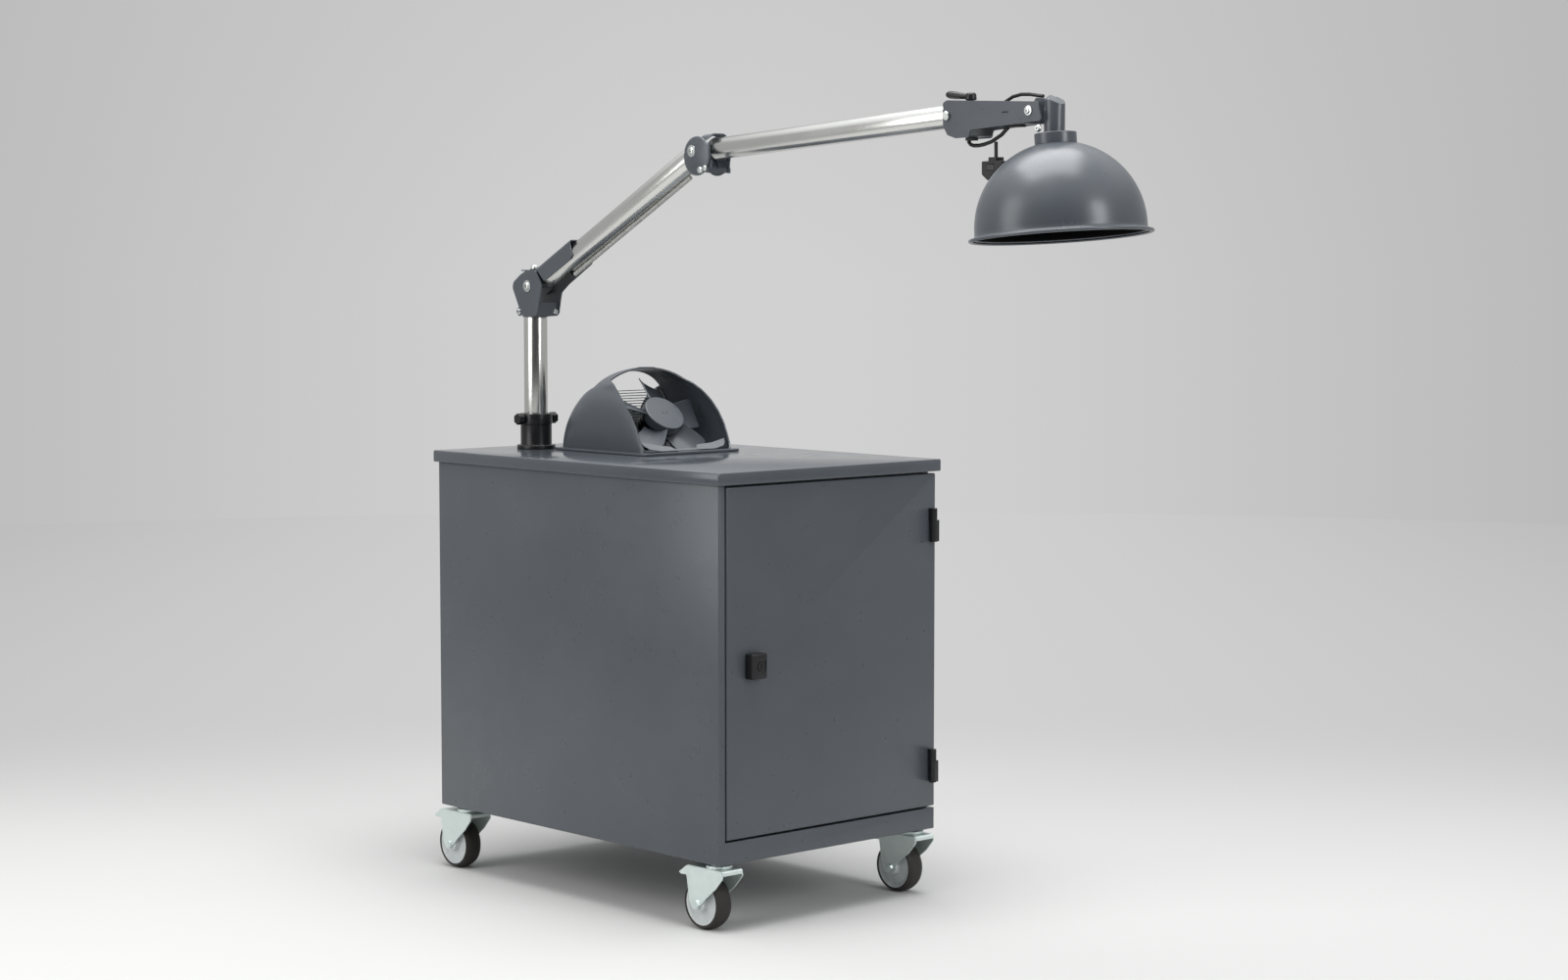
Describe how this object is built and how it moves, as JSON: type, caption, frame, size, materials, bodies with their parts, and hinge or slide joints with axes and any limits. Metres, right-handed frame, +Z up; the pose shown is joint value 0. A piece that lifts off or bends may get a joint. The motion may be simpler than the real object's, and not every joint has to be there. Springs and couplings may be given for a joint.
{
  "type": "mobile welding fume extractor",
  "caption": "Mobile fume extractor: cabinet on swivel casters with a door, a fan cowl and a mast that carries a jointed tube arm with a round hood.",
  "frame": {"origin": "on the floor below the middle of the whole part's box", "axes": "+Z up, the door faces -Y, the arm reaches over the door to -Y at rest, +X to the right of someone who faces the door"},
  "size_m": [0.581, 1.741, 1.551],
  "materials": {
    "powder_coat": "satin powder coat with fine orange peel",
    "stainless": "polished tube",
    "zinc": "bright zinc plate",
    "black_metal": "satin black",
    "black_plastic": "fine matte grain",
    "galvanised": "dull galvanised sheet",
    "rubber": "matte",
    "tyre": "matte",
    "grey_plastic": "satin",
    "filter_paper": "matte"
  },
  "bodies": {
    "cabinet": {"cabinet_body": "powder_coat", "lid": "powder_coat", "filter_shelf": "galvanised", "filter_frame": "galvanised", "filter_pleats": "filter_paper", "inlet_duct": "galvanised", "upper_hinge_base": "black_metal", "lower_hinge_base": "black_metal", "fan_cowl": "powder_coat", "cowl_sill": "powder_coat", "fan_motor": "black_metal", "fan_bracket": "galvanised", "wire_guard": "stainless", "mast_collar": "black_metal", "front_left_race": "zinc", "front_right_race": "zinc", "rear_left_race": "zinc", "rear_right_race": "zinc"},
    "door": {"door_panel": "powder_coat", "door_gasket": "rubber", "upper_hinge_wing": "black_metal", "lower_hinge_wing": "black_metal", "lock_housing": "black_plastic"},
    "lock": {"lock_rotor": "black_metal"},
    "fan": {"fan_impeller": "powder_coat"},
    "left_knob": {"left_clamp_knob": "black_plastic"},
    "right_knob": {"right_clamp_knob": "black_plastic"},
    "mast": {"mast_tube": "stainless", "mast_yoke": "powder_coat", "elbow_1_bolt": "zinc"},
    "lower_arm": {"lower_tube": "stainless", "tube_saddle": "powder_coat", "cable_conduit": "black_plastic", "elbow_2_housing": "powder_coat", "elbow_2_bolt": "zinc"},
    "upper_arm": {"upper_tube": "stainless", "upper_collar": "powder_coat"},
    "wrist": {"wrist_channel": "powder_coat", "wrist_pin": "zinc", "tilt_bolt": "zinc", "loop_handle": "black_plastic", "switch_housing": "black_plastic", "cable_loop": "rubber"},
    "lever": {"clamp_lever": "black_plastic"},
    "rocker": {"switch_rocker": "black_plastic"},
    "knuckle": {"hood_knuckle": "powder_coat"},
    "hood": {"hood_collar": "powder_coat", "hood": "powder_coat"},
    "front_left_caster": {"front_left_fork": "zinc"},
    "front_left_wheel": {"front_left_rim": "grey_plastic", "front_left_tyre": "tyre"},
    "front_right_caster": {"front_right_fork": "zinc"},
    "front_right_wheel": {"front_right_rim": "grey_plastic", "front_right_tyre": "tyre"},
    "rear_left_caster": {"rear_left_fork": "zinc"},
    "rear_left_wheel": {"rear_left_rim": "grey_plastic", "rear_left_tyre": "tyre"},
    "rear_right_caster": {"rear_right_fork": "zinc"},
    "rear_right_wheel": {"rear_right_rim": "grey_plastic", "rear_right_tyre": "tyre"}
  },
  "joints": [
    {"name": "door_hinge", "type": "hinge", "parent": "cabinet", "child": "door", "pos_m": [0.27, -0.04124, 0.5], "axis": [0, 0, 1], "range_deg": [0, 110]},
    {"name": "lock_turn", "type": "hinge", "parent": "door", "child": "lock", "pos_m": [-0.1955, -0.03324, 0.5], "axis": [0, 1, 0], "range_deg": [0, 90]},
    {"name": "fan_spin", "type": "hinge", "parent": "cabinet", "child": "fan", "pos_m": [0.0285, 0.48824, 0.94335], "axis": [0, -0.7071, 0.7071], "continuous": true},
    {"name": "left_knob_turn", "type": "hinge", "parent": "cabinet", "child": "left_knob", "pos_m": [-0.1025, 0.74476, 0.9261], "axis": [1, 0, 0], "continuous": true},
    {"name": "right_knob_turn", "type": "hinge", "parent": "cabinet", "child": "right_knob", "pos_m": [-0.1025, 0.74476, 0.9261], "axis": [1, 0, 0], "continuous": true},
    {"name": "mast_swivel", "type": "hinge", "parent": "cabinet", "child": "mast", "pos_m": [-0.1025, 0.74476, 0.8638], "axis": [0, 0, 1], "range_deg": [-175, 175]},
    {"name": "elbow_1", "type": "hinge", "parent": "mast", "child": "lower_arm", "pos_m": [-0.1025, 0.73476, 1.1985], "axis": [-1, 0, 0], "range_deg": [-15, 35]},
    {"name": "elbow_2", "type": "hinge", "parent": "lower_arm", "child": "upper_arm", "pos_m": [-0.1025, 0.21244, 1.46085], "axis": [-1, 0, 0], "range_deg": [-45, 40]},
    {"name": "wrist_hinge", "type": "hinge", "parent": "upper_arm", "child": "wrist", "pos_m": [-0.1025, -0.4688, 1.50538], "axis": [-1, 0, 0], "range_deg": [-45, 20]},
    {"name": "lever_turn", "type": "hinge", "parent": "wrist", "child": "lever", "pos_m": [-0.1025, -0.49842, 1.53216], "axis": [0, 0.0145, 0.9999], "range_deg": [0, 90]},
    {"name": "rocker_turn", "type": "hinge", "parent": "wrist", "child": "rocker", "pos_m": [-0.11628, -0.55973, 1.4147], "axis": [0, -0.0145, -0.9999], "range_deg": [0, 10]},
    {"name": "hood_tilt", "type": "hinge", "parent": "wrist", "child": "knuckle", "pos_m": [-0.1025, -0.6629, 1.5082], "axis": [-1, 0, 0], "range_deg": [-8, 40], "deforming": ["cable_loop"]},
    {"name": "hood_swivel", "type": "hinge", "parent": "knuckle", "child": "hood", "pos_m": [-0.1025, -0.6976, 1.4721], "axis": [0, 0.0872, 0.9962], "continuous": true},
    {"name": "front_left_swivel", "type": "hinge", "parent": "cabinet", "child": "front_left_caster", "pos_m": [-0.2525, 0.00076, 0.131], "axis": [0, 0, 1], "continuous": true},
    {"name": "front_left_roll", "type": "hinge", "parent": "front_left_caster", "child": "front_left_wheel", "pos_m": [-0.2525, 0.03376, 0.05], "axis": [1, 0, 0], "continuous": true},
    {"name": "front_right_swivel", "type": "hinge", "parent": "cabinet", "child": "front_right_caster", "pos_m": [0.2525, 0.00076, 0.131], "axis": [0, 0, 1], "continuous": true},
    {"name": "front_right_roll", "type": "hinge", "parent": "front_right_caster", "child": "front_right_wheel", "pos_m": [0.2525, 0.03376, 0.05], "axis": [1, 0, 0], "continuous": true},
    {"name": "rear_left_swivel", "type": "hinge", "parent": "cabinet", "child": "rear_left_caster", "pos_m": [-0.2525, 0.78276, 0.131], "axis": [0, 0, 1], "continuous": true},
    {"name": "rear_left_roll", "type": "hinge", "parent": "rear_left_caster", "child": "rear_left_wheel", "pos_m": [-0.2525, 0.81576, 0.05], "axis": [1, 0, 0], "continuous": true},
    {"name": "rear_right_swivel", "type": "hinge", "parent": "cabinet", "child": "rear_right_caster", "pos_m": [0.2525, 0.78276, 0.131], "axis": [0, 0, 1], "continuous": true},
    {"name": "rear_right_roll", "type": "hinge", "parent": "rear_right_caster", "child": "rear_right_wheel", "pos_m": [0.2525, 0.81576, 0.05], "axis": [1, 0, 0], "continuous": true}
  ]
}
